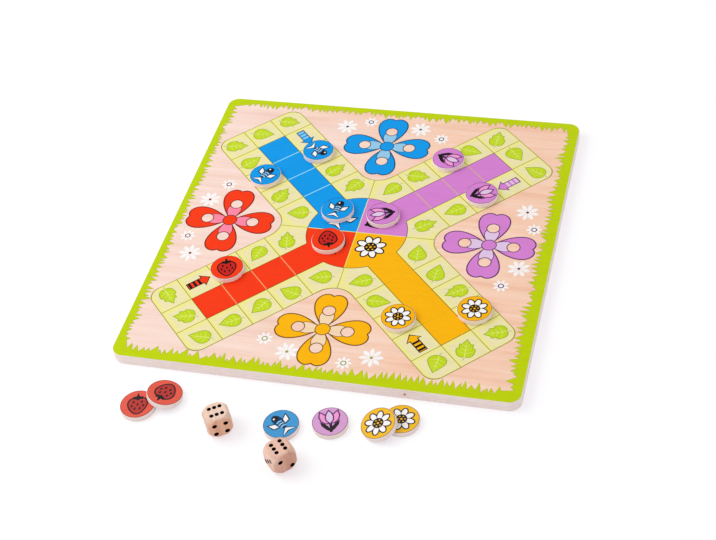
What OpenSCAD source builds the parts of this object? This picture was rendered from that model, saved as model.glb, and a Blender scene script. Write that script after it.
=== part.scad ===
// A wooden ludo game laid out for play: a square plywood board, four teams of four
// round counters, and two dice. Lengths are in millimetres and angles in degrees.
// The origin is the centre of the board's underside, with X along the front edge
// towards the right, Y towards the back edge and Z up.

/* [Board] */
// Length of each side of the square board
board_side = 300; // [280:1:340]
// Thickness of the whole board
board_t = 9; // [6:0.1:12]
// Thickness of each outer veneer of the plywood
veneer_t = 1.6; // [1.4:0.1:2.4]
// Radius of the board's corners, seen from above
corner_r = 9; // [5:0.5:20]
// Radius of the sanded arrises along the top and bottom edges
arris_r = 0.4; // [0.2:0.1:1.2]

/* [Printed track] */
// Side of each square of the cross-shaped track
square_side = 25.3; // [24:0.1:27]
// Distance from a corner of the board to the end of the track's arm that points at it
arm_to_corner = 50; // [45:1:60]
// Distance from the board's centre to a counter that has come home
home_reach = 26; // [25:0.5:30]
// Thickness of the ink and varnish on which the counters stand
ink_t = 0.1; // [0.05:0.01:0.3]

/* [Counters] */
// Diameter of each counter
counter_d = 25.5; // [22:0.5:28]
// Thickness of each counter
counter_t = 4.2; // [3:0.1:6]
// Radius of the rounded edges of each counter
counter_edge_r = 0.5; // [0.2:0.1:1]
// Length by which the leaning red counter laps over the one under it
red_lap = 5.3; // [3:0.1:10]
// Length by which the leaning yellow counter laps over the one under it
yellow_lap = 9.6; // [3:0.1:10]
// Air between a leaning counter and the one under it
lean_gap = 0.05; // [0.02:0.01:0.2]

/* [Dice] */
// Length of a die from one flat face to the opposite one
die_side = 18; // [16:0.5:20]
// Radius along the edges of a die
die_edge_r = 3; // [2:0.1:4]
// Wood taken off each corner, measured along the cube's long diagonal
die_corner_cut = 3.7; // [3.2:0.1:4.2]
// Diameter of each pip of the numbers one to five
pip_d = 3.5; // [2.5:0.1:4]
// Diameter of each pip of the six, which is drilled smaller
six_pip_d = 3; // [2.2:0.1:3.2]
// Depth of each pip
pip_depth = 0.5; // [0.3:0.05:0.8]
// Distance from a die's side to the middle of its outer pips
pip_inset = 5; // [4.8:0.1:5.6]
// Distance between neighbours in each row of the six
six_pitch = 3.8; // [3.4:0.1:4.1]
// Distance between the two rows of the six
six_rows = 6.6; // [6:0.1:7.6]

/* [Pieces on the table] */
// Distance from the board's front edge to the nearest counter on the table
table_gap = 8.8; // [6:0.1:40]

/* [Hidden] */
$fn = 96;

// Board: the corner circles' centres and the height of the counters' seat
corner_c = board_side / 2 - corner_r;
core_t = board_t - 2 * veneer_t;
seat_z = board_t + ink_t;

// Each arm of the track points at a corner of the board
PURPLE_ARM = 45;
BLUE_ARM = 135;
RED_ARM = 225;
YELLOW_ARM = 315;
arm_reach = board_side / sqrt(2) - arm_to_corner;

// Counters: the radius, and the radius of the flat part of each face
counter_r = counter_d / 2;
flat_r = counter_r - counter_edge_r;

// Dice: the ball that trims the corners and the ball of the cutter for a pip d wide
die_ball_r = die_side * sqrt(3) / 2 - die_corner_cut;
function pip_ball_r(d) = (pow(d / 2, 2) + pow(pip_depth, 2)) / (2 * pip_depth);
pip_reach = die_side / 2 - pip_inset;

// Pip places on a face, in steps to the right and up, for the numbers 1 to 6
PIPS = [
  [[0, 0]],
  [[-1, 1], [1, -1]],
  [[-1, -1], [0, 0], [1, 1]],
  [[-1, -1], [-1, 1], [1, -1], [1, 1]],
  [[-1, -1], [-1, 1], [0, 0], [1, -1], [1, 1]],
  [for (row = [-1, 1], i = [-1:1]) [i * six_pitch, row * six_rows / 2] / pip_reach]
];

// Places on the table, chosen by hand: across from the board's middle, and forward
// from the row of the yellow counter, which lies nearest to the board
red_spot = [-115, -16.5];
blue_spot = [-9, -17.5];
purple_spot = [24, -10];
yellow_spot = [72, 0];
die_1_spot = [-52, -24.5];
die_2_spot = [-0.5, -47.5];
table_y = -board_side / 2 - table_gap - counter_r;

// Turns of the pieces on the table: the two leaning counters' headings and the dice
red_heading = 33.5;
yellow_heading = 211.5;
die_1_turn = 33.5;
die_2_turn = 135.5;

// A rounded square plate, flat above and below
module plate(t) {
  linear_extrude(t) {
    square([board_side, 2 * corner_c], center = true);
    square([2 * corner_c, board_side], center = true);
    for (x = [-corner_c, corner_c], y = [-corner_c, corner_c])
      translate([x, y]) circle(corner_r);
  }
}

// Half of a veneer's cross-section, out to w, with its upper outer edge sanded round
module veneer_profile(w) {
  square([w - arris_r, veneer_t]);
  square([w, veneer_t - arris_r]);
  translate([w - arris_r, veneer_t - arris_r]) circle(arris_r, $fn = 32);
}

// A veneer cut to the board's outline: two crossing bands and a turned button at
// each corner, all with the same sanded upper edge
module veneer() {
  for (turn = [0, 90])
    rotate([0, 0, turn])
      translate([0, corner_c, 0])
        rotate([90, 0, 0])
          linear_extrude(2 * corner_c) {
            veneer_profile(board_side / 2);
            mirror([1, 0]) veneer_profile(board_side / 2);
          }
  for (x = [-corner_c, corner_c], y = [-corner_c, corner_c])
    translate([x, y, 0])
      rotate_extrude() veneer_profile(corner_r);
}

module board_face_veneer() {
  color("Wheat")
    translate([0, 0, board_t - veneer_t]) veneer();
}

module board_core() {
  color("BurlyWood")
    translate([0, 0, veneer_t]) plate(core_t);
}

module board_back_veneer() {
  color("Wheat")
    translate([0, 0, veneer_t]) mirror([0, 0, 1]) veneer();
}

// A counter standing on z = 0: a turned disc with both edges softened
module counter() {
  edge = counter_edge_r;
  rotate_extrude() {
    square([flat_r, counter_t]);
    translate([0, edge]) square([counter_r, counter_t - 2 * edge]);
    for (y = [edge, counter_t - edge])
      translate([flat_r, y]) circle(edge, $fn = 32);
  }
}

// Counters of the four teams, each in its team's stain
module red_counter() { color("Tomato") counter(); }
module blue_counter() { color("DodgerBlue") counter(); }
module purple_counter() { color("Orchid") counter(); }
module yellow_counter() { color("Gold") counter(); }

// Puts a counter on the printed square in the given row, counted from the arm's
// outer end, and column, -1 to 1. The last two values are how far from the middle of
// the square the player has set it down.
module on_square(arm, row, column, out, side) {
  rotate([0, 0, arm])
    translate([arm_reach - (row - 0.5) * square_side + out, column * square_side + side, seat_z])
      children();
}

// Puts a counter in its team's quarter of the round home, off by the last two values
module at_home(arm, out, side) {
  rotate([0, 0, arm])
    translate([home_reach + out, side, seat_z]) children();
}

// Moves a piece from the origin to its place on the table
module on_table(spot) {
  translate([spot[0], table_y + spot[1], 0]) children();
}

// Tilts a counter against the one that lies on the same spot, on the side of heading.
// Its outer low edge is on the table and its underside touches the upper edge of the
// counter beneath. The tilt is the angle at which both hold at once, which solves
// run * sin(tilt) - drop * cos(tilt) = rise.
module leaning(spot, heading, lap) {
  past = counter_r - lap;
  run = flat_r + past;
  drop = 2 * counter_edge_r + lean_gap;
  rise = counter_t - 2 * counter_edge_r;
  tilt = asin(rise / norm([run, drop])) + atan2(drop, run);
  x = flat_r + (counter_edge_r + lean_gap) * sin(tilt) + past * cos(tilt);
  z = flat_r * sin(tilt) + counter_edge_r * (1 - cos(tilt));
  on_table(spot)
    rotate([0, 0, heading])
      translate([x, 0, z])
        rotate([0, tilt, 0]) children();
}

module counter_red_1() {
  on_square(RED_ARM, 3, -1, 3, 1.5) red_counter();
}

module counter_red_2() {
  at_home(RED_ARM, -1.5, -4) red_counter();
}

module counter_red_3() {
  on_table(red_spot) red_counter();
}

module counter_red_4() {
  leaning(red_spot, red_heading, red_lap) red_counter();
}

module counter_blue_1() {
  on_square(BLUE_ARM, 3, 1, 1.5, 1.5) blue_counter();
}

module counter_blue_2() {
  on_square(BLUE_ARM, 3, -1, 1.5, 2.5) blue_counter();
}

module counter_blue_3() {
  at_home(BLUE_ARM, 3.5, 1) blue_counter();
}

module counter_blue_4() {
  on_table(blue_spot) blue_counter();
}

module counter_purple_1() {
  on_square(PURPLE_ARM, 3, 1, 2, 1.5) purple_counter();
}

module counter_purple_2() {
  on_square(PURPLE_ARM, 3, -1, -0.5, 1.5) purple_counter();
}

module counter_purple_3() {
  at_home(PURPLE_ARM, -1.5, 3) purple_counter();
}

module counter_purple_4() {
  on_table(purple_spot) purple_counter();
}

module counter_yellow_1() {
  on_square(YELLOW_ARM, 3, -1, -2, 0.5) yellow_counter();
}

module counter_yellow_2() {
  on_square(YELLOW_ARM, 2, 1, -1, -1.5) yellow_counter();
}

module counter_yellow_3() {
  leaning(yellow_spot, yellow_heading, yellow_lap) yellow_counter();
}

module counter_yellow_4() {
  on_table(yellow_spot) yellow_counter();
}

// A bar with rounded long edges, as wide and as high as a die, lying along Z
module die_bar() {
  flat = die_side - 2 * die_edge_r;
  linear_extrude(die_side, center = true) {
    square([die_side, flat], center = true);
    square([flat, die_side], center = true);
    for (x = [-flat / 2, flat / 2], y = [-flat / 2, flat / 2])
      translate([x, y]) circle(die_edge_r);
  }
}

// The hollows for number n, in the face that looks along -Y, with the six on top
module pips(n) {
  ball_r = pip_ball_r(n == 6 ? six_pip_d : pip_d);
  for (p = PIPS[n - 1])
    translate([p[0] * pip_reach, -die_side / 2 + pip_depth - ball_r, p[1] * pip_reach])
      sphere(ball_r, $fn = 48);
}

// A die standing on z = 0: three rounded bars crossed, trimmed by a ball and
// hollowed for the pips. Opposite faces add up to seven.
module die() {
  color("BurlyWood")
    translate([0, 0, die_side / 2])
      difference() {
        intersection() {
          die_bar();
          rotate([90, 0, 0]) die_bar();
          rotate([0, 90, 0]) die_bar();
          sphere(die_ball_r);
        }
        pips(4);
        rotate([0, 0, 90]) pips(5);
        rotate([0, 0, 180]) pips(3);
        rotate([0, 0, 270]) pips(2);
        rotate([-90, 0, 0]) pips(6);
        rotate([90, 0, 0]) pips(1);
      }
}

module die_1() {
  on_table(die_1_spot) rotate([0, 0, die_1_turn]) die();
}

module die_2() {
  on_table(die_2_spot) rotate([0, 0, die_2_turn]) die();
}

board_face_veneer();
board_core();
board_back_veneer();
counter_red_1();
counter_red_2();
counter_red_3();
counter_red_4();
counter_blue_1();
counter_blue_2();
counter_blue_3();
counter_blue_4();
counter_purple_1();
counter_purple_2();
counter_purple_3();
counter_purple_4();
counter_yellow_1();
counter_yellow_2();
counter_yellow_3();
counter_yellow_4();
die_1();
die_2();
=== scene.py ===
# A printed plywood ludo board with its sixteen wooden counters and two dice, set out for play.
import math
import random
from itertools import product

import bpy
from mathutils import Matrix, Vector
from mathutils.geometry import delaunay_2d_cdt


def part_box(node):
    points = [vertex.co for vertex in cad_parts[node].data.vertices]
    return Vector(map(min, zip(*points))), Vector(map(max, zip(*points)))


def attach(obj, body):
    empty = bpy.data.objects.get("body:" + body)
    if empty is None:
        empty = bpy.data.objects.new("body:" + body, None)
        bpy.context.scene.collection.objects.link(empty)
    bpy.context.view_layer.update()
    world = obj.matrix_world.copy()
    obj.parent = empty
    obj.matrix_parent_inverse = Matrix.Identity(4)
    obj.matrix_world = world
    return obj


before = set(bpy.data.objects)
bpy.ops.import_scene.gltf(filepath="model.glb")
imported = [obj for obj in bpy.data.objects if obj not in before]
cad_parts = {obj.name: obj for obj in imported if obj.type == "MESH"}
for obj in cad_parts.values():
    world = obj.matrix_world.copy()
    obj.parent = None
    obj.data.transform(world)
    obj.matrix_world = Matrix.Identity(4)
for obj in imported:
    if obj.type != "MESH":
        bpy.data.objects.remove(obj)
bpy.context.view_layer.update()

MM = 0.001


# The board.
# The board is a slab of pale plywood: a thin face veneer, a core of crossed plies and a back
# veneer, glued under a press, sawn square and sanded round along every edge and corner. The grain
# of both veneers runs from left to right. The face is varnished, and the edge and back are bare.
VENEER_BOTTOM, VENEER_TOP = 1.6, 7.4
BOARD_HALF = 150.0
WARM_TONES = ("f0b996", "fbd0b3", "ffdec8")
BLUSH_TONES = ("f2cbb9", "f9dccd", "fde6d9")
EDGE_TONES = ("f4dfd8", "feeee8", "fff6f2")
FACE_FLAT = 149.6
BOARD_CORNER = 9.0
CORE_JOINTS = (0.34, 0.67)
KNOT_ON_EDGE, KNOT_REACH = (69.5, -150.0, 4.4), 3.0


def tone(code, lift=1.0):
    """A colour written as a six-figure web code, as the shader wants it, lifted or dimmed."""
    parts = [int(code[i:i + 2], 16) / 255 for i in (0, 2, 4)]
    light = [c / 12.92 if c <= 0.04045 else ((c + 0.055) / 1.055) ** 2.4 for c in parts]
    return (*[min(1.0, c * lift) for c in light], 1.0)


def start_finish(name):
    """A new finish, with its shader and its coordinates in metres from the board's centre."""
    finish = bpy.data.materials.new(name)
    finish.use_nodes = True
    shader = finish.node_tree.nodes["Principled BSDF"]
    return finish, shader, step(finish, "TexCoord").outputs["Object"]


def step(finish, kind, feeds=None, **settings):
    """One node of a finish. Each feed is another node's output or a plain value."""
    node = finish.node_tree.nodes.new("ShaderNode" + kind)
    for name, value in settings.items():
        setattr(node, name, value)
    for name, value in (feeds or {}).items():
        if isinstance(value, bpy.types.NodeSocket):
            finish.node_tree.links.new(value, node.inputs[name])
        else:
            node.inputs[name].default_value = value
    return node


def sum_up(finish, operation, *values):
    """The result of a sum on one, two or three values."""
    return step(finish, "Math", dict(enumerate(values)), operation=operation).outputs[0]


def ramp(finish, amount, stops, smooth="LINEAR"):
    """Colours, or shades of grey given as numbers, laid out along an amount from 0 to 1."""
    node = step(finish, "ValToRGB", {"Fac": amount})
    band = node.color_ramp
    band.interpolation = smooth
    while len(band.elements) < len(stops):
        band.elements.new(0.5)
    for element, (place, colour) in zip(band.elements, stops):
        element.position = place
        element.color = colour if isinstance(colour, tuple) else (colour, colour, colour, 1)
    return node.outputs["Color"]


def streaks(finish, where, length, width, detail=3.0, along="x"):
    """Noise drawn out along one direction, as wood grain is. Sizes are in millimetres."""
    size = [1 / (width * MM)] * 3
    size["xyz".index(along)] = 1 / (length * MM)
    spread = step(finish, "Mapping", {"Vector": where, "Scale": size})
    return step(finish, "TexNoise", {"Vector": spread.outputs[0], "Scale": 1.0, "Detail": detail,
                                     "Roughness": 0.6}).outputs["Fac"]


def grain_colour(finish, where, tones, along="x"):
    """Broad and fine figure with sparse darker pores, and the height of that grain."""
    dark, middle, light = tones
    broad = streaks(finish, where, 130, 9, 2, along)
    fine = streaks(finish, where, 42, 0.9, 3, along)
    pores = streaks(finish, where, 5, 0.28, 1, along)
    figure = sum_up(finish, "MULTIPLY_ADD", broad, 0.66, sum_up(finish, "MULTIPLY", fine, 0.34))
    body = ramp(finish, figure, [(0.3, tone(dark)), (0.5, tone(middle)), (0.68, tone(light))])
    dots = ramp(finish, pores, [(0.27, 1.0), (0.36, 0.0)])
    dotted = step(finish, "Mix", {"Factor": sum_up(finish, "MULTIPLY", dots, 0.35), 6: body,
                                  7: tone(dark, 0.82)}, data_type="RGBA")
    height = sum_up(finish, "MULTIPLY_ADD", dots, -0.6, fine)
    return dotted.outputs[2], height


def finish_off(finish, shader, colour, height, depth, rough, shine=0.3):
    """Joins colour, roughness and relief to the shader, so that low grain is also duller."""
    link = finish.node_tree.links.new
    shader.inputs["Specular IOR Level"].default_value = shine
    link(colour, shader.inputs["Base Color"])
    duller = step(finish, "MapRange", {"Value": height, "From Min": 0.2, "From Max": 0.8,
                                       "To Min": rough + 0.08, "To Max": rough - 0.06})
    link(duller.outputs[0], shader.inputs["Roughness"])
    relief = step(finish, "Bump", {"Height": height, "Strength": 0.5, "Distance": depth * MM})
    link(relief.outputs[0], shader.inputs["Normal"])


def glue_lines(finish, depth, joints, half):
    """One along each glue line, fading to nought on either side of it."""
    stops = [(joint + side * half, 1.0 - abs(side)) for joint in joints for side in (-1, 0, 1)]
    return ramp(finish, depth, [(place, strength) for place, strength in stops if 0 <= place <= 1])


def give_finish(part, *finishes):
    """Puts finishes on a part in place of what it had."""
    part.data.materials.clear()
    for finish in finishes:
        part.data.materials.append(finish)


# The face is paler and rosy on the left and warmer on the right, in soft patches. The strip that
# is sanded round at its edge is paler.
face_wood, shader, where = start_finish("face_veneer_wood")
rosy, height = grain_colour(face_wood, where, BLUSH_TONES)
warm, _ = grain_colour(face_wood, where, WARM_TONES)
across = step(face_wood, "MapRange", {"Value": step(face_wood, "SeparateXYZ", {0: where}).outputs["X"],
                                      "From Min": -BOARD_HALF * MM,
                                      "From Max": 0.9 * BOARD_HALF * MM}).outputs[0]
cloudy = sum_up(face_wood, "MULTIPLY_ADD", streaks(face_wood, where, 70, 22, 2), 1.1, -0.55)
patches = ramp(face_wood, sum_up(face_wood, "ADD", across, cloudy), [(0.1, 0.0), (0.9, 1.0)], "EASE")
figured = step(face_wood, "Mix", {"Factor": patches, 6: rosy, 7: warm}, data_type="RGBA").outputs[2]
sanded, _ = grain_colour(face_wood, where, EDGE_TONES)
corner = (BOARD_HALF - BOARD_CORNER) * MM
past = step(face_wood, "VectorMath", {0: step(face_wood, "VectorMath", {0: where}, operation="ABSOLUTE")
                                      .outputs[0], 1: (corner, corner, 1)}, operation="SUBTRACT")
beyond = step(face_wood, "VectorMath", {0: past.outputs[0], 1: (0, 0, 0)}, operation="MAXIMUM")
reach = step(face_wood, "VectorMath", {0: beyond.outputs[0]}, operation="LENGTH").outputs["Value"]
edge = sum_up(face_wood, "GREATER_THAN", reach, (FACE_FLAT - BOARD_HALF + BOARD_CORNER) * MM)
rimmed = step(face_wood, "Mix", {"Factor": edge, 6: figured, 7: sanded}, data_type="RGBA").outputs[2]
finish_off(face_wood, shader, rimmed, height, 0.06, 0.5)

back_wood, shader, where = start_finish("back_veneer_wood")
finish_off(back_wood, shader, *grain_colour(back_wood, where, EDGE_TONES), 0.08, 0.6)

# The core is three plies, the middle one with its grain from left to right and the others from
# front to back. The glue lines are a little darker, and a small knot comes out at the front edge.
core_wood, shader, where = start_finish("crossed_core_wood")
long_ply, long_height = grain_colour(core_wood, where, EDGE_TONES)
cross_ply, cross_height = grain_colour(core_wood, where, EDGE_TONES, along="y")
up = step(core_wood, "SeparateXYZ", {0: where}).outputs["Z"]
level = step(core_wood, "MapRange", {"Value": up, "From Min": VENEER_BOTTOM * MM,
                                     "From Max": VENEER_TOP * MM}).outputs[0]
which_ply = ramp(core_wood, level, [(0.0, 1.0), (CORE_JOINTS[0], 0.0), (CORE_JOINTS[1], 1.0)], "CONSTANT")
plies = step(core_wood, "Mix", {"Factor": which_ply, 6: long_ply, 7: cross_ply}, data_type="RGBA")
glue = glue_lines(core_wood, level, (0.0, *CORE_JOINTS, 1.0), 0.02)
glued = step(core_wood, "Mix", {"Factor": sum_up(core_wood, "MULTIPLY", glue, 0.35),
                                6: plies.outputs[2], 7: tone("c3a68d")}, data_type="RGBA")
from_knot = step(core_wood, "VectorMath", {0: where, 1: [v * MM for v in KNOT_ON_EDGE]},
                 operation="DISTANCE").outputs["Value"]
knot = ramp(core_wood, sum_up(core_wood, "MULTIPLY", from_knot, 1 / (KNOT_REACH * MM)),
            [(0.2, 1.0), (0.5, 0.0)])
knotted = step(core_wood, "Mix", {"Factor": sum_up(core_wood, "MULTIPLY", knot, 0.85),
                                  6: glued.outputs[2], 7: tone("8d6a50")}, data_type="RGBA")
core_height = step(core_wood, "Mix", {"Factor": which_ply, 2: long_height, 3: cross_height})
finish_off(core_wood, shader, knotted.outputs[2], core_height.outputs[0], 0.12, 0.62)

give_finish(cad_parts["board_face_veneer"], face_wood)
give_finish(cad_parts["board_core"], core_wood)
give_finish(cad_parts["board_back_veneer"], back_wood)


# Inks.
# The print is pigmented ink, screened on the sanded veneer in flat areas, one colour at a time. It
# lies thin enough for the grain to show through as faint streaks and to be felt as low ridges. The
# same inks print the faces of the counters; those beside the board get paler copies, washed towards
# white as a painted sheen of light reflected off their varnish.
INK_CODES = {
    "grass": "c1d600", "blade_rim": "a9b60c", "pale": "f0e7b2", "olive": "9d9a30",
    "leaf_rim": "9bb200", "leaf": "c3dc1a", "vein": "e4f07c",
    "red": "f93a0e", "blue": "049bea", "purple": "d884d2", "yellow": "ffb900",
    "red_tint": "fe8aa5", "blue_tint": "96cce9", "purple_tint": "e5c9e8", "yellow_tint": "f7dbb4",
    "red_line": "7c1c10", "blue_line": "0e4470", "purple_line": "5c2c68", "yellow_line": "7d4a06",
    "red_glow": "ec9c68", "blue_glow": "9be0f8", "purple_glow": "d2b48c", "yellow_glow": "f2b604",
    "white": "fdfbf8", "black": "0e080a", "pink": "f79fd4", "berry": "c81e16",
    # Paler copies of the inks, washed towards white: a painted sheen for the counters beside the board.
    "red_painted_sheen": "e8604e", "blue_painted_sheen": "489dd6", "purple_painted_sheen": "daa2d2", "yellow_painted_sheen": "f8c12c",
    "black_painted_sheen": "2c262b", "berry_painted_sheen": "bc3e38",
}
inks = {}


def ink_body(finish, where, code):
    """Flat ink, a shade lighter and darker with the grain beneath it, and its height."""
    under = streaks(finish, where, 38, 0.8)
    cloud = streaks(finish, where, 7, 7, 2)
    mixed = sum_up(finish, "MULTIPLY_ADD", under, 0.7, sum_up(finish, "MULTIPLY", cloud, 0.3))
    colour = ramp(finish, mixed, [(0.3, tone(code, 0.93)), (0.5, tone(code)), (0.7, tone(code, 1.05))])
    return colour, under


for name, code in INK_CODES.items():
    finish, shader, where = start_finish("ink_" + name)
    colour, height = ink_body(finish, where, code)
    inks[name] = finish
    if name != "pale":
        finish_off(finish, shader, colour, height, 0.03, 0.5, 0.08)


# The print on the board.
# The drawing is built up on a flat sheet, in millimetres, from the lowest ink to the topmost. It
# is then cut into areas of one ink each, so that no two inks overlap, and each ink becomes one
# thin film that is let into the wood a little and, with its varnish, stands just above it.
INK_ROOT, INK_TOP = 8.97, 9.09
PRINT_OFFSET = Vector((-1.5, 0.3))
PRINT_HALF, PRINT_CORNER = 149.7, 8.7
BARE = "bare"
SQUARE = 25.3
ARM_END = 162.15
LANE_HALF, ARM_HALF = SQUARE / 2, SQUARE * 1.5
LINE = 0.6
TEAM_ARMS = {"purple": 45, "blue": 135, "red": 225, "yellow": 315}
drawing = []


def draw(ink, outline, angle=0.0, place=(0, 0), size=1.0):
    """Adds an outline to the drawing, first enlarged and turned, then moved to its place."""
    c, s = math.cos(math.radians(angle)) * size, math.sin(math.radians(angle)) * size
    drawing.append((ink, [(place[0] + x * c - y * s, place[1] + x * s + y * c)
                          for x, y in outline]))


def arc(middle, radius, start, end, count):
    """Points along an arc, in degrees, both ends included."""
    turns = [math.radians(start + (end - start) * i / count) for i in range(count + 1)]
    return [(middle[0] + radius * math.cos(t), middle[1] + radius * math.sin(t)) for t in turns]


def disc(radius, count=48):
    """The outline of a round spot about the origin."""
    return arc((0, 0), radius, 0, 360 * (count - 1) / count, count - 1)


def grow(outline, by):
    """An outline moved outwards by a distance, or inwards by a negative one."""
    ring = [Vector(p) for p in outline]
    clockwise = sum(a.x * b.y - b.x * a.y for a, b in zip(ring, ring[1:] + ring[:1])) < 0
    moved = []
    for before, here, after in zip(ring[-1:] + ring[:-1], ring, ring[1:] + ring[:1]):
        sides = [Vector((d.y, -d.x)) for d in ((here - before).normalized(),
                                              (after - here).normalized())]
        lean = sides[0] + sides[1]
        reach = (-by if clockwise else by) * 2 / max(lean.length_squared, 1.0)
        moved.append(tuple(here + lean * reach))
    return moved


def stroke(points, start_width, end_width=None):
    """A line drawn along some points, thinner or thicker towards its end."""
    line = [Vector(p) for p in points]
    widths = [start_width + ((start_width if end_width is None else end_width) - start_width)
              * i / (len(line) - 1) for i in range(len(line))]
    left, right = [], []
    for i, here in enumerate(line):
        along = (line[min(i + 1, len(line) - 1)] - line[max(i - 1, 0)]).normalized()
        side = Vector((-along.y, along.x)) * widths[i] / 2
        left.append(tuple(here + side))
        right.append(tuple(here - side))
    return left + right[::-1]


# Grass: the border's inner edge is a run of blades of uneven width, height and lean. Each side
# has its own depth at the blades' feet, depth at their tips, and width of a blade.
chance = random.Random(11)
BLADE_RUN, BLADE_RIM = (-139.0, 133.0), 0.35
BLADES = {"front": (6.0, 12.5, 4.7), "right": (6.2, 12.0, 4.7), "back": (4.1, 9.6, 4.1),
          "left": (3.9, 8.9, 4.2)}


def blades(foot, tip, pitch):
    """Points along one side of the grass, as pairs of way along and depth from the edge."""
    way, points = BLADE_RUN[0], []
    while way < BLADE_RUN[1]:
        width = pitch * chance.uniform(0.6, 1.4)
        top = way + width * chance.uniform(0.2, 0.8)
        low = foot + chance.uniform(-1.2, 1.2)
        rise = (tip - foot) * chance.uniform(0.5, 1.25)
        points += [(way, low), ((way + 1.3 * top) / 2.3, low + rise * 0.5), (top, low + rise),
                   ((way + width + 1.3 * top) / 2.3, low + rise * 0.5)]
        way += width
    return points


draw("grass", [p for i, (x, y) in enumerate(((1, 1), (-1, 1), (-1, -1), (1, -1)))
               for p in arc((x * (PRINT_HALF - PRINT_CORNER), y * (PRINT_HALF - PRINT_CORNER)),
                            PRINT_CORNER, 90 * i, 90 * i + 90, 14)])
clearing = []
for turn, side in enumerate(("front", "right", "back", "left")):
    c, s = round(math.cos(turn * math.pi / 2)), round(math.sin(turn * math.pi / 2))
    for x, depth in blades(*BLADES[side]):
        y = depth - PRINT_HALF
        clearing.append((x * c - y * s, x * s + y * c))
draw("blade_rim", clearing)
draw(BARE, grow(clearing, -BLADE_RIM))

# Small white blossoms in the corners of the wood between the grass and the track, four to a side:
# the larger have a dot in the middle and the smaller a ring.
HEARTS = {"blue": "blue_line", "red": "red_line", "yellow": "olive", "purple": "purple_line"}
BLOSSOMS = [(-38.5, 124, 9.2), (-20, 132.0, 6.3), (23, 127.5, 9.0), (42.5, 117.5, 6.4)]
LARGE_REACH = 8
BLOSSOM_HALF, DOT, RING_OUT, RING_IN = 0.18, 0.12, 0.36, 0.23
for turn, team in enumerate(("blue", "red", "yellow", "purple")):
    for x, y, reach in BLOSSOMS:
        place = Vector((x, y)) + PRINT_OFFSET
        place.rotate(Matrix.Rotation(turn * math.pi / 2, 2))
        first = chance.uniform(0, 60)
        side = [(reach * i / 10, reach * BLOSSOM_HALF * math.sin(math.pi * (i / 10) ** 1.4))
                for i in range(11)]
        petal = [(x, -y) for x, y in side] + side[-2:0:-1]
        for k in range(8):
            draw("white", petal, first + 45 * k, place)
        if reach > LARGE_REACH:
            draw(HEARTS[team], disc(reach * DOT, 16), 0, place)
        else:
            draw(HEARTS[team], disc(reach * RING_OUT, 20), 0, place)
            draw("white", disc(reach * RING_IN, 16), 0, place)

# Yards: on each side of the board a four-petalled bloom in the team's colour, with a bare spot
# on each petal where a counter waits.
YARD_REACH, SPOT_REACH, SPOT_R, HEART_R = 103.0, 18.6, 4.56, 5.2
PETAL, THROAT = (35.5, 12.6), (17.5, 5.6)
PETAL_LINE, THROAT_LINE, ROUND_LINE = 0.95, 0.3, 0.7


def heart_petal(reach, half):
    """A petal from the middle outwards, broad near its end, with a shallow notch there."""
    side = [(0.0, 0.0), (0.14, 0.3), (0.28, 0.58), (0.42, 0.8), (0.56, 0.94), (0.7, 1.0),
            (0.82, 0.95), (0.91, 0.82), (0.975, 0.6), (1.0, 0.36), (0.985, 0.14)]
    bend = []
    for (t0, w0), (t1, w1) in zip(side, side[1:]):
        bend += [(t0 + (t1 - t0) * i / 3, w0 + (w1 - w0) * i / 3) for i in range(3)]
    bend.append(side[-1])
    smooth = [bend[0]] + [tuple((bend[i - 1][k] + 2 * bend[i][k] + bend[i + 1][k]) / 4
                                for k in (0, 1)) for i in range(1, len(bend) - 1)] + [bend[-1]]
    one = [(reach * t, -half * w) for t, w in smooth]
    return one + [(reach * 0.955, 0.0)] + [(x, -y) for x, y in one[:0:-1]]


for turn, team in enumerate(("blue", "red", "yellow", "purple")):
    place = Vector((0, YARD_REACH))
    place.rotate(Matrix.Rotation(turn * math.pi / 2, 2))
    place += PRINT_OFFSET
    for k in range(4):
        draw(team + "_line", heart_petal(*PETAL), 90 * k, place)
        draw(team, grow(heart_petal(*PETAL), -PETAL_LINE), 90 * k, place)
    for k in range(4):
        draw(team + "_line", grow(heart_petal(*THROAT), THROAT_LINE), 90 * k, place)
        draw(team + "_tint", grow(heart_petal(*THROAT), -THROAT_LINE), 90 * k, place)
        spot = Vector((SPOT_REACH, 0))
        spot.rotate(Matrix.Rotation(k * math.pi / 2, 2))
        draw(team + "_line", disc(SPOT_R + ROUND_LINE), 0, place + spot)
        draw(BARE, disc(SPOT_R), 0, place + spot)
    draw(team + "_line", disc(HEART_R + ROUND_LINE), 0, place)
    draw(team, disc(HEART_R), 0, place)

# Track: a cross of three squares' width. Thin olive lines part the pale squares, the corners are
# rounded, and the hollow between two arms is filled by a round web.
END_CORNER, WEB_R, HOME_R = 10.0, 18.0, 39.2
web_start = ARM_HALF + WEB_R


def arm_side(half, end, corner, web):
    """One side of an arm, from the line between two arms to its end."""
    return (arc((web_start, ARM_HALF + WEB_R), web, 225, 270, 8)
            + arc((end - corner, half - corner), corner, 90, 0, 8))


for arm in TEAM_ARMS.values():
    one = arm_side(ARM_HALF + LINE / 2, ARM_END + LINE / 2, END_CORNER, WEB_R - LINE / 2)
    draw("olive", [(0, 0)] + [(x, -y) for x, y in one] + one[::-1], arm, PRINT_OFFSET)

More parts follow.
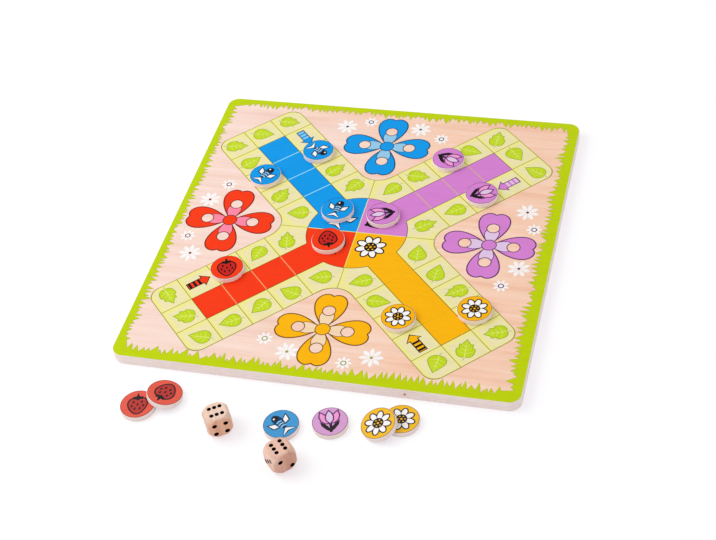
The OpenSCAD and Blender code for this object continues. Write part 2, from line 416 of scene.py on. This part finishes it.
squares = []
inner = LINE / 2
for side in (-1, 1):
    for row in range(4):
        far, near = ARM_END - row * SQUARE - inner, ARM_END - (row + 1) * SQUARE + inner
        low, high = LANE_HALF + inner, ARM_HALF - inner
        outer = arc((far - END_CORNER, high - END_CORNER), END_CORNER, 0, 90, 8) if row == 0 \
            else [(far, high)]
        squares.append([(x, y * side) for x, y in [(near, low), (far, low)] + outer + [(near, high)]])
    web = arc((web_start, ARM_HALF + WEB_R), WEB_R + inner, 225, 270, 8)
    last = ARM_END - 4 * SQUARE - inner
    home_low = math.sqrt((HOME_R + inner) ** 2 - (LANE_HALF + inner) ** 2)
    turn_low = math.degrees(math.atan2(LANE_HALF + inner, home_low))
    ring = arc((0, 0), HOME_R + inner, turn_low, 44.7, 10)
    shifted = [(x + inner * 0.7, y - inner * 0.7) for x, y in web]
    squares.append([(x, y * side) for x, y in ring + shifted + [(last, ARM_HALF - inner),
                                                                (last, LANE_HALF + inner)]])
far, near = ARM_END - inner, ARM_END - SQUARE + inner
squares.append([(near, -LANE_HALF + inner), (far, -LANE_HALF + inner), (far, LANE_HALF - inner),
                (near, LANE_HALF - inner)])
for arm in TEAM_ARMS.values():
    for square in squares:
        draw("pale", square, arm, PRINT_OFFSET)


# Leaves: one on every pale square but the start, with a midrib, side veins and a short stalk. Some
# are plain and pointed, others are lobed. Their outlines are given as shares of the length from the
# stalk and of half the width.
PLAIN_LEAF = [(0.03, 0), (0, 0.24), (0.04, 0.54), (0.12, 0.8), (0.22, 0.96), (0.33, 1), (0.44, 0.95),
              (0.56, 0.8), (0.68, 0.6), (0.8, 0.38), (0.9, 0.18), (1, 0)]
LOBED_LEAF = [(0.06, 0), (0, 0.26), (0.04, 0.6), (0.14, 0.86), (0.3, 0.98), (0.43, 1), (0.5, 0.92),
              (0.52, 0.7), (0.62, 0.76), (0.74, 0.7), (0.72, 0.48), (0.84, 0.26), (1, 0)]
LEAF_LENGTHS, LEAF_WIDTHS, LEAF_LINE = (17.2, 18.8), (12.8, 14.6), 0.6
WEB_LEAVES = [(47.5, 25.5), (47.5, -25.5)]


def draw_leaf(angle, place, length, width, shape):
    """A leaf with its stalk and veins."""
    edge = [(length * (t - 0.5), -width / 2 * w) for t, w in shape]
    edge += [(x, -y) for x, y in edge[-2:0:-1]]
    draw("leaf_rim", edge, angle, place)
    draw("leaf_rim", stroke([(-length * 0.47, 0), (-length * 0.57, 0.3), (-length * 0.64, 1.0)], 0.6,
                            0.4), angle, place)
    draw("leaf", grow(edge, -LEAF_LINE), angle, place)
    draw("vein", stroke([(-length * 0.46, 0), (0, 0.15), (length * 0.38, 0)], 0.7, 0.25), angle, place)
    for t, side in product((0.2, 0.38, 0.56), (-1, 1)):
        root = Vector((length * (t - 0.5), 0))
        tip = Vector((length * (t - 0.36), side * width / 2 * (0.98 - t)))
        middle = (root + tip) / 2 - Vector((0, side * 0.25))
        draw("vein", stroke([root, middle, tip], 0.5, 0.2), angle, place)


def on_arm(arm, out, side):
    """A place on the print from how far out along an arm and how far to its left it is."""
    spot = Vector((out, side))
    spot.rotate(Matrix.Rotation(math.radians(arm), 2))
    return spot + PRINT_OFFSET


START = (ARM_END - 1.5 * SQUARE, -SQUARE)
for arm in TEAM_ARMS.values():
    middles = [(ARM_END - (row + 0.5) * SQUARE, side * SQUARE) for side in (-1, 1)
               for row in range(4)]
    middles += [(ARM_END - SQUARE / 2, 0), *WEB_LEAVES]
    for middle in middles:
        if middle != START:
            draw_leaf(chance.uniform(0, 360), on_arm(arm, *middle), chance.uniform(*LEAF_LENGTHS),
                      chance.uniform(*LEAF_WIDTHS), chance.choice((PLAIN_LEAF, LOBED_LEAF)))

# Start arrows: on the second square of each arm's right-hand side, pointing to the middle.
ARROW = [(-9.8, 0), (-2.9, 6.6), (-2.9, 3.5), (9.7, 3.5), (9.7, -3.5), (-2.9, -3.5), (-2.9, -6.6)]
ARROW_LINE, BAND_WIDTH, BAND_HALF, BAND_PLACES = 0.8, 2.0, 2.7, (-1.4, 2.5, 6.4)
ARROW_BANDS = {"red": "black", "blue": "blue_tint", "purple": "purple_tint", "yellow": "black"}
for team, arm in TEAM_ARMS.items():
    place = on_arm(arm, *START)
    draw("black" if ARROW_BANDS[team] == "black" else team + "_line", ARROW, arm, place)
    draw(team, grow(ARROW, -ARROW_LINE), arm, place)
    for x in BAND_PLACES:
        draw(ARROW_BANDS[team], [(x, -BAND_HALF), (x + BAND_WIDTH, -BAND_HALF),
                                 (x + BAND_WIDTH, BAND_HALF), (x, BAND_HALF)], arm, place)

# Lanes and home: each team's lane runs down the middle of its arm into its quarter of the round
# home. Fine light lines part the squares of the lane and the quarters.
GLOW_HALF, LANE_LAP, LANE_START = 0.43, 0.1, 30
for team, arm in TEAM_ARMS.items():
    for ink, by in ((team + "_line", LANE_LAP), (team, -inner)):
        side, lane_end = LANE_HALF + by, ARM_END - SQUARE + by
        draw(ink, [(LANE_START, -side), (lane_end, -side), (lane_end, side), (LANE_START, side)],
             arm, PRINT_OFFSET)
        draw(ink, [(0, 0)] + arc((0, 0), HOME_R + by, -45, 45, 24), arm, PRINT_OFFSET)
    for row in (2, 3, 4):
        line = ARM_END - row * SQUARE
        draw(team + "_glow", [(line + x * GLOW_HALF, y * (LANE_HALF - inner)) for x, y in
                              ((-1, -1), (1, -1), (1, 1), (-1, 1))], arm, PRINT_OFFSET)
for arm in TEAM_ARMS.values():
    draw("vein", [(0, -inner), (HOME_R - inner, -inner), (HOME_R - inner, inner), (0, inner)],
         arm + 45, PRINT_OFFSET)


# Emblems: each team has a plain figure, printed on its counters and larger on its home quarter:
# a strawberry, a fish, a tulip and a daisy.
def oval(wide, high, middle=(0, 0), count=28, taper=0.0):
    """An oval about a middle, drawn in towards its lower end by the taper."""
    return [(middle[0] + wide / 2 * math.sin(t) * (1 + taper * math.cos(t)),
             middle[1] + high / 2 * math.cos(t)) for t in
            (-2 * math.pi * i / count for i in range(count))]


def strawberry():
    body = oval(11.8, 13.6, (0, -1.2), 32, 0.28)
    yield "black", grow(body, 0.5)
    yield "berry", grow(body, -0.4)
    for x, y in ((-2.6, 1.6), (2.6, 1.6), (0, -0.4), (-3.6, -1.4), (3.6, -1.4), (-1.6, -3.6),
                 (1.6, -3.6)):
        yield "black", oval(1.3, 2.2, (x, y), 12)
    for k in range(5):
        t = math.radians(90 + (k - 2) * 44)
        c, s = math.cos(t), math.sin(t)
        blade = [(-1.6, 0), (0, -1.7), (4.6, 0), (0, 1.7)]
        yield "black", [(x * c - y * s, 4.4 + (x * s + y * c) * (1 if k == 2 else 0.6))
                        for x, y in blade]


def fish():
    for side in (-1, 1):
        fin = [(-1.6, side * 2.0), (1.8, side * 2.4), (4.2, side * 6.9), (-0.6, side * 6.0)]
        yield "black", grow(fin, 0.5)
        yield "white", grow(fin, -0.3)
    tail = [(-3.8, 0), (-8.3, 4.8), (-7.0, 0), (-8.3, -4.8)]
    yield "black", grow(tail, 0.5)
    yield "white", grow(tail, -0.3)
    body = [(x, y) for y, x in oval(6.2, 12.6, (0, 1.8), 30, 0.18)]
    yield "blue_line", body
    for x in (-2.4, -0.4, 1.6):
        yield "blue_tint", stroke([(x, -1.9), (x + 0.6, 0), (x, 1.9)], 1.0)
    yield "black", oval(4.2, 4.6, (5.5, 0), 20)
    yield "white", oval(1.3, 1.3, (5.8, 0.9), 12)


def tulip():
    yield "black", stroke([(0, 0), (0.3, -4), (0, -8.4)], 1.7)
    for side in (-1, 1):
        yield "black", [(0, -8.0), (side * 2.4, -6.4), (side * 5.2, -3.0), (side * 6.2, 0.6),
                        (side * 3.0, -1.8), (side * 0.9, -4.2)]
    for side in (-1, 1):
        petal = [(0, -1.6), (side * 2.8, -1.4), (side * 5.3, 0.8), (side * 6.3, 4.0),
                 (side * 5.6, 8.0), (side * 2.8, 5.6), (side * 0.8, 2.4)]
        yield "purple_line", grow(petal, 0.45)
        yield "pink", grow(petal, -0.35)
    middle = [(0, -1.8), (2.1, 0.8), (2.5, 3.6), (1.6, 6.4), (0, 8.6), (-1.6, 6.4), (-2.5, 3.6),
              (-2.1, 0.8)]
    yield "purple_line", grow(middle, 0.45)
    yield "purple_tint", grow(middle, -0.35)


def daisy():
    for ink, by in (("black", 0.5), ("white", -0.3)):
        for k in range(8):
            t = math.radians(45 * k + 12)
            c, s = math.cos(t), math.sin(t)
            yield ink, [(x * c - y * s, x * s + y * c)
                        for x, y in grow([(y + 5.3, x) for x, y in oval(3.9, 6.2, count=20)], by)]
    yield "black", disc(3.6, 28)
    for k in range(6):
        t = math.radians(60 * k)
        yield "yellow", oval(1.05, 1.05, (2.2 * math.cos(t), 2.2 * math.sin(t)), 10)
    yield "yellow", disc(0.75, 12)


EMBLEMS = {"red": strawberry, "blue": fish, "purple": tulip, "yellow": daisy}
HOME_TURNS = {"red": 200, "blue": 65, "purple": -60, "yellow": 10}
HOME_OUT, HOME_SIZE = 20.5, 1.4
for team, arm in TEAM_ARMS.items():
    for ink, outline in EMBLEMS[team]():
        draw(ink, outline, HOME_TURNS[team], on_arm(arm, HOME_OUT, 0), HOME_SIZE)


def part_inks(layers):
    """Cuts a stack of outlines into cells that each hold only the topmost ink."""
    points, rings = [], []
    for _, outline in layers:
        area = sum(a[0] * b[1] - b[0] * a[1] for a, b in zip(outline, outline[1:] + outline[:1]))
        rings.append(list(range(len(points), len(points) + len(outline))))
        points += [Vector(p) for p in (outline if area > 0 else outline[::-1])]
    flat, _, cells, _, _, covers = delaunay_2d_cdt(points, [], rings, 1, 1e-3, True)
    areas = {}
    for cell, cover in zip(cells, covers):
        ink = layers[max(cover)][0]
        if ink != BARE:
            areas.setdefault(ink, []).append(tuple(cell))
    return flat, areas


def lay_film(name, flat, areas, place, root, top, body):
    """A closed film of ink over the given cells, from its root in the wood to its top."""
    points, faces, shades, number = [], [], [], {}
    for cells in areas.values():
        for i in sorted({i for cell in cells for i in cell}):
            if i not in number:
                number[i] = len(points)
                points += [place @ Vector((*flat[i], z)) * MM for z in (top, root)]
    edges = {(a, b) for cells in areas.values() for cell in cells
             for a, b in zip(cell, cell[1:] + cell[:1])}
    for shade, cells in enumerate(areas.values()):
        for cell in cells:
            ring = [number[i] for i in cell]
            faces += [ring, [i + 1 for i in ring[::-1]]]
            shades += [shade] * 2
            for a, b in zip(cell, cell[1:] + cell[:1]):
                if (b, a) not in edges:
                    a, b = number[a], number[b]
                    faces.append([a, a + 1, b + 1, b])
                    shades.append(shade)
    mesh = bpy.data.meshes.new(name)
    mesh.from_pydata(points, [], faces)
    film = bpy.data.objects.new(name, mesh)
    bpy.context.scene.collection.objects.link(film)
    give_finish(film, *[inks[ink] for ink in areas])
    mesh.polygons.foreach_set("material_index", shades)
    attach(film, body)
    return film


sheet, areas = part_inks(drawing)
for ink in areas:
    lay_film("print_" + ink, sheet, {ink: areas[ink]}, Matrix.Identity(4), INK_ROOT, INK_TOP,
             "board")

# Pale squares: this ink is yellower along the lines and thins towards the middle of each square,
# where more of the wood's beige shows.
PALE_RIM, PALE_RIM_SHARE = 4.5, 0.8
finish = inks["pale"]
shader, where = finish.node_tree.nodes["Principled BSDF"], finish.node_tree.nodes["Texture Coordinate"]
colour, height = ink_body(finish, where.outputs["Object"], INK_CODES["pale"])
shifted = step(finish, "Mapping", {"Vector": where.outputs["Object"], "Rotation": (0, 0, math.pi / 4),
                                   "Scale": (1 / MM,) * 3, "Location": [0, 0, 0]})
turned = step(finish, "VectorMath", {0: shifted.outputs[0]}, operation="ABSOLUTE")
axes = step(finish, "SeparateXYZ", {0: turned.outputs[0]}).outputs
out, across = sum_up(finish, "MAXIMUM", axes[0], axes[1]), sum_up(finish, "MINIMUM", axes[0], axes[1])
down = sum_up(finish, "MAXIMUM", out, ARM_END - 4.5 * SQUARE)
to_line = sum_up(finish, "PINGPONG", sum_up(finish, "SUBTRACT", down, ARM_END - 6 * SQUARE), SQUARE / 2)
to_side = sum_up(finish, "PINGPONG", sum_up(finish, "SUBTRACT", across, LANE_HALF), SQUARE / 2)
to_split = sum_up(finish, "MULTIPLY", sum_up(finish, "SUBTRACT", out, across), math.sqrt(0.5))
nearest = sum_up(finish, "MINIMUM", sum_up(finish, "MINIMUM", to_line, to_side), to_split)
rim = ramp(finish, sum_up(finish, "MULTIPLY", nearest, 1 / PALE_RIM), [(0.05, 1.0), (0.95, 0.0)],
           "EASE")
edged = step(finish, "Mix", {"Factor": sum_up(finish, "MULTIPLY", rim, PALE_RIM_SHARE), 6: colour,
                             7: tone("f3ee88")}, data_type="RGBA")
finish_off(finish, shader, edged.outputs[2], height, 0.03, 0.5, 0.08)


# Counters.
# Sixteen round counters, stamped from three-ply, tumbled smooth and left bare at the rim. The
# upper face is printed nearly to the edge in the team's colour, with the team's emblem on it. The
# six that lie beside the board have a print a little paler than the ten in play: a painted sheen of
# reflected light washed into their inks.
COUNTER_T = 4.2
COUNTER_JOINTS = (0.34, 0.66)
COUNTER_FACE_R, COUNTER_RING = 12.4, 0.35
COUNTER_INK = 0.05
EMBLEM_SIZE = 1.14
COUNTER_TONES = ("f2dcd2", "fdede6", "fff8f4")
BESIDE_BOARD = {"red": (3, 4), "blue": (4,), "purple": (4,), "yellow": (3, 4)}
EMBLEM_TURNS = {
    "red": (20, 200, 15, 165), "blue": (60, 330, 80, 145), "purple": (250, 300, 110, 20),
    "yellow": (340, 200, 75, 250),
}


def face_frame(node, turn):
    """The place of a counter's printed face: its middle, its upright and its emblem's turn."""
    mesh = node.data
    facing = {}
    for face in mesh.polygons:
        if face.normal.z > 0.5:
            key = tuple(round(v, 3) for v in face.normal)
            facing.setdefault(key, []).append(face)
    flat = max(facing.values(), key=lambda faces: sum(f.area for f in faces))
    whole = sum(f.area for f in flat)
    upright = sum((f.normal * f.area for f in flat), Vector()).normalized()
    middle = sum((f.center * f.area for f in flat), Vector()) / whole
    heading = Vector((math.cos(math.radians(turn)), math.sin(math.radians(turn)), 0))
    right = (heading - upright * heading.dot(upright)).normalized()
    turned = Matrix((right, upright.cross(right), upright)).transposed().to_4x4()
    return Matrix.Translation(middle) @ turned


def counter_wood(name, place):
    """Three-ply seen at the rim: two outer plies along the emblem's turn and one across."""
    finish, shader, where = start_finish(name)
    own = step(finish, "Mapping", {"Vector": where, "Location": place.translation,
                                   "Rotation": place.to_euler()}, vector_type="TEXTURE").outputs[0]
    outer, outer_height = grain_colour(finish, own, COUNTER_TONES)
    middle, middle_height = grain_colour(finish, own, COUNTER_TONES, along="y")
    depth = sum_up(finish, "MULTIPLY", step(finish, "SeparateXYZ", {0: own}).outputs["Z"],
                   -1 / (COUNTER_T * MM))
    inside = ramp(finish, depth, [(0.0, 0.0), (COUNTER_JOINTS[0], 1.0), (COUNTER_JOINTS[1], 0.0)],
                  "CONSTANT")
    plies = step(finish, "Mix", {"Factor": inside, 6: outer, 7: middle}, data_type="RGBA")
    glue = glue_lines(finish, depth, COUNTER_JOINTS, 0.03)
    glued = step(finish, "Mix", {"Factor": sum_up(finish, "MULTIPLY", glue, 0.4),
                                 6: plies.outputs[2], 7: tone("cdb29c")}, data_type="RGBA")
    heights = step(finish, "Mix", {"Factor": inside, 2: outer_height, 3: middle_height})
    finish_off(finish, shader, glued.outputs[2], heights.outputs[0], 0.08, 0.55)
    return finish


for team, turns in EMBLEM_TURNS.items():
    drawing = []
    draw(team + "_line", disc(COUNTER_FACE_R, 72))
    draw(team, disc(COUNTER_FACE_R - COUNTER_RING, 72))
    for ink, outline in EMBLEMS[team]():
        draw(ink, outline, size=EMBLEM_SIZE)
    sheet, areas = part_inks(drawing)
    for i, turn in enumerate(turns, 1):
        name = f"counter_{team}_{i}"
        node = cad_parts[name]
        place = face_frame(node, turn)
        give_finish(node, counter_wood(f"three_ply_{team}_{i}", place))
        seat = place.copy()
        seat.translation /= MM
        printed = areas
        # Beside the board the print takes the paler inks, which paint in a sheen of reflected light.
        if i in BESIDE_BOARD[team]:
            printed = {ink + "_painted_sheen" if ink + "_painted_sheen" in inks else ink: cells
                       for ink, cells in areas.items()}
        lay_film(name + "_face", sheet, printed, seat, -COUNTER_INK, COUNTER_INK, name)


# Dice.
# Two beech dice, cut from a square stick and tumbled until their edges and corners are round. On
# each, the two end-grain faces are darker, partly for the end grain and partly as painted shade, for
# one of them is the face turned to the front right, away from the lamp. The pips are shallow drilled
# hollows, each filled with a drop of dead matt black paint, and opposite faces add up to seven.
DIE_HALF = 9.0
PIP_R, SIX_PIP_R, PIP_DEPTH, PIP_REACH = 1.75, 1.5, 0.5, 4.0
PAINT_OVER, PAINT_UNDER = 0.2, 0.12
SIX_PITCH, SIX_ROW = 3.8, 3.3
DICE = {"die_1": (33.5, "y"), "die_2": (135.5, "x")}
SIDE_TONES = {"die_1": ("d8a88c", "f2d1bb", "fce5d6"), "die_2": ("cd9980", "f0c6b0", "fadfd0")}
# Darker tones for the two end-grain faces: end grain, with painted shade on the face turned front right.
END_GRAIN_AND_SHADE_TONES = {"die_1": ("cd9472", "f2b797", "f8ccb0"), "die_2": ("b67c62", "dea48d", "efc0ac")}
PIP_PLACES = {
    1: [(0, 0)], 2: [(-1, 1), (1, -1)], 3: [(-1, -1), (0, 0), (1, 1)],
    4: [(-1, -1), (-1, 1), (1, -1), (1, 1)], 5: [(-1, -1), (-1, 1), (0, 0), (1, -1), (1, 1)],
    6: [(i * SIX_PITCH / PIP_REACH, row * SIX_ROW / PIP_REACH) for row in (-1, 1) for i in (-1, 0, 1)],
}
DIE_FACES = {4: ("Z", 0), 5: ("Z", 90), 3: ("Z", 180), 2: ("Z", 270), 6: ("X", -90), 1: ("X", 90)}

pip_paint, shader, where = start_finish("pip_paint")
specks = streaks(pip_paint, where, 0.4, 0.4)
finish_off(pip_paint, shader, ramp(pip_paint, specks, [(0.35, tone("050202")), (0.65, tone("100909"))]),
           specks, 0.03, 0.5, 0.0)


def pip_drop(place, mouth_r):
    """A drop of paint in one hollow: a bowl with its upper side over the wood and its back in it."""
    rings, count = 5, 20
    points, faces = [], []
    for deep in (PIP_DEPTH - PAINT_OVER, PIP_DEPTH + PAINT_UNDER):
        ball = (mouth_r ** 2 + deep ** 2) / (2 * deep)
        for r in [mouth_r * k / rings for k in range(1, rings + 1)]:
            sink = math.sqrt(ball ** 2 - r ** 2) - (ball - deep)
            points += [Vector((r * math.cos(t), r * math.sin(t), -sink)) for t in
                       (2 * math.pi * i / count for i in range(count))]
        points.append(Vector((0, 0, -deep)))
    per_side = rings * count + 1
    for side, first in enumerate((0, per_side)):
        for k in range(rings - 1):
            for i in range(count):
                j = (i + 1) % count
                ring = [first + k * count + i, first + (k + 1) * count + i,
                        first + (k + 1) * count + j, first + k * count + j]
                faces.append(ring if side == 0 else ring[::-1])
        for i in range(count):
            ring = [first + per_side - 1, first + i, first + (i + 1) % count]
            faces.append(ring if side == 0 else ring[::-1])
    last = (rings - 1) * count
    for i in range(count):
        j = (i + 1) % count
        faces.append([last + i, last + per_side + i, last + per_side + j, last + j])
    return [place @ p * MM for p in points], faces


for name, (turn, along) in DICE.items():
    low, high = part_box(name)
    middle = (low + high) / 2 / MM
    stand = Matrix.Translation(middle) @ Matrix.Rotation(math.radians(turn), 4, "Z")
    finish, shader, where = start_finish("beech_" + name)
    own = step(finish, "Mapping", {"Vector": where, "Location": middle * MM,
                                   "Rotation": (0, 0, math.radians(turn))},
               vector_type="TEXTURE").outputs[0]
    sides, height = grain_colour(finish, own, SIDE_TONES[name], along)
    ends, _ = grain_colour(finish, own, END_GRAIN_AND_SHADE_TONES[name], "z")
    out = sum_up(finish, "ABSOLUTE", step(finish, "SeparateXYZ", {0: own}).outputs[along.upper()])
    # One on the two end-grain faces, which take the darker tones: end grain and painted shade together.
    end_grain_and_painted_shade = ramp(finish, sum_up(finish, "MULTIPLY", out, 1 / (DIE_HALF * MM)),
                     [(0.76, 0.0), (0.97, 1.0)], "EASE")
    cut = step(finish, "Mix", {"Factor": end_grain_and_painted_shade, 6: sides, 7: ends}, data_type="RGBA")
    flecks = streaks(finish, own, 2.2, 0.5, 2, along)
    fleck = ramp(finish, flecks, [(0.58, 0.0), (0.68, 1.0)])
    flecked = step(finish, "Mix", {"Factor": sum_up(finish, "MULTIPLY", fleck, 0.35),
                                   6: cut.outputs[2], 7: tone("b98564")}, data_type="RGBA")
    finish_off(finish, shader, flecked.outputs[2], height, 0.1, 0.5)
    give_finish(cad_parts[name], finish)
    points, faces = [], []
    for number, (axis, angle) in DIE_FACES.items():
        for across, upward in PIP_PLACES[number]:
            mouth = Matrix.Translation((across * PIP_REACH, -DIE_HALF, upward * PIP_REACH))
            place = stand @ Matrix.Rotation(math.radians(angle), 4, axis) @ mouth \
                @ Matrix.Rotation(math.pi / 2, 4, "X")
            more_points, more_faces = pip_drop(place, SIX_PIP_R if number == 6 else PIP_R)
            faces += [[i + len(points) for i in face] for face in more_faces]
            points += more_points
    mesh = bpy.data.meshes.new(name + "_pips")
    mesh.from_pydata(points, [], faces)
    mesh.shade_smooth()
    pips = bpy.data.objects.new(name + "_pips", mesh)
    bpy.context.scene.collection.objects.link(pips)
    give_finish(pips, pip_paint)
    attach(pips, name)


# The table and the light.
# The set lies on a plain white table that runs out of sight. A wide soft lamp stands high on the
# left, and the white room fills in the rest.
TABLE_REACH, TABLE_DROP = 6.0, 0.00003
LAMP_PLACE, LAMP_AIM = Vector((-1.05, -0.05, 1.15)), Vector((0, -0.03, 0))
LAMP_WIDTH, LAMP_POWER = 1.3, 10.0
ROOM_SEEN, ROOM_LIGHT = 1.0, 0.72
mesh = bpy.data.meshes.new("table")
mesh.from_pydata([(x * TABLE_REACH, y * TABLE_REACH, -TABLE_DROP) for x, y in
                  ((-1, -1), (1, -1), (1, 1), (-1, 1))], [], [(0, 1, 2, 3)])
table = bpy.data.objects.new("table", mesh)
bpy.context.scene.collection.objects.link(table)
white_table = bpy.data.materials.new("white_table")
white_table.use_nodes = True
white_table.node_tree.nodes.clear()


def seen_straight(holder):
    """One where the eye, a mirror or a glass sees the surface, nought where light lands on it."""
    path = step(holder, "LightPath").outputs
    mirrored = sum_up(holder, "MAXIMUM", path["Is Glossy Ray"], path["Is Transmission Ray"])
    return sum_up(holder, "MAXIMUM", path["Is Camera Ray"], mirrored)


paper = step(white_table, "BsdfDiffuse", {"Color": (0.88, 0.88, 0.88, 1)})
# As the eye sees it, the table is a dimmer diffuse part plus an even glow, adding to white where lit;
# their colours are split so that its shadows turn faintly pink-lavender, a painted tint in the shade.
shade_tint_paper = step(white_table, "BsdfDiffuse", {"Color": (0.52, 0.57, 0.51, 1)})
lift = step(white_table, "Emission", {"Color": (0.54, 0.49, 0.55, 1), "Strength": 1.0})
lit = step(white_table, "AddShader", {0: shade_tint_paper.outputs[0], 1: lift.outputs[0]})
both = step(white_table, "MixShader", {0: seen_straight(white_table), 1: paper.outputs[0],
                                       2: lit.outputs[0]})
step(white_table, "OutputMaterial", {"Surface": both.outputs[0]})
give_finish(table, white_table)

scene = bpy.context.scene
room = bpy.data.worlds.new("white_room")
scene.world = room
room.use_nodes = True
room.node_tree.nodes.clear()
glow = step(room, "Background", {"Color": (0.985, 0.972, 1, 1), "Strength": sum_up(
    room, "MULTIPLY_ADD", seen_straight(room), ROOM_SEEN - ROOM_LIGHT, ROOM_LIGHT)})
step(room, "OutputWorld", {"Surface": glow.outputs[0]})

lamp = bpy.data.lights.new("soft_box", "AREA")
lamp.shape = "DISK"
lamp.size = LAMP_WIDTH
lamp.energy = LAMP_POWER
soft_box = bpy.data.objects.new("soft_box", lamp)
scene.collection.objects.link(soft_box)
soft_box.location = LAMP_PLACE
soft_box.rotation_euler = (LAMP_AIM - LAMP_PLACE).to_track_quat("-Z", "Y").to_euler()


# The camera.
# The camera looks down at the board from the front and a little to the right. Its place and turn
# make the board's four corners fall where the photograph has them.
EYE_PLACE, FILM_WIDTH, LENS = (0.274506, -0.797022, 0.788166), 36.0, 75.11
right, above = Vector((0.96634, 0.23813, -0.09734)), Vector((-0.09998, 0.69628, 0.71076))
eye = bpy.data.cameras.new("eye")
eye.sensor_width = FILM_WIDTH
eye.lens = LENS
camera = bpy.data.objects.new("camera", eye)
scene.collection.objects.link(camera)
stance = Matrix((right, above, right.cross(above))).transposed().to_4x4()
camera.matrix_world = Matrix.Translation(EYE_PLACE) @ stance
scene.camera = camera
scene.view_settings.view_transform = "Standard"
